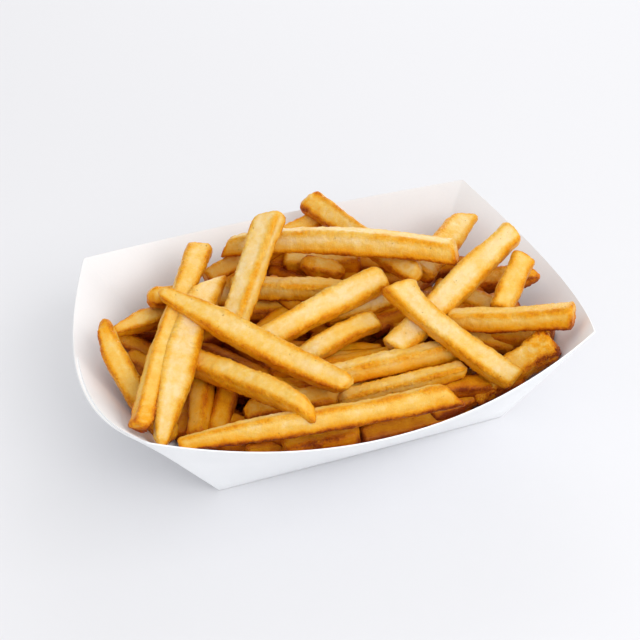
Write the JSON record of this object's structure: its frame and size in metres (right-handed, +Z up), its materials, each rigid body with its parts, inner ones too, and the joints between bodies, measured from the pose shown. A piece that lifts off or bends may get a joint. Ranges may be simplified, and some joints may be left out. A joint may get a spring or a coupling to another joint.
{
  "type": "french fries in an open paper food tray",
  "caption": "Open folded paperboard food tray with bowed rims, heaped with thick-cut golden french fries.",
  "frame": {"origin": "middle of the tray's flat base, on the table", "axes": "+Z up, +X along the tray's longer side, -Y towards the front of the tray"},
  "size_m": [0.197, 0.151, 0.0688],
  "materials": {
    "paperboard": "plain white uncoated paperboard, matte",
    "fried_potato": "golden fried potato, matte with a slight oil sheen"
  },
  "bodies": {
    "root": {"tray": "paperboard", "fries": "fried_potato"}
  },
  "joints": []
}
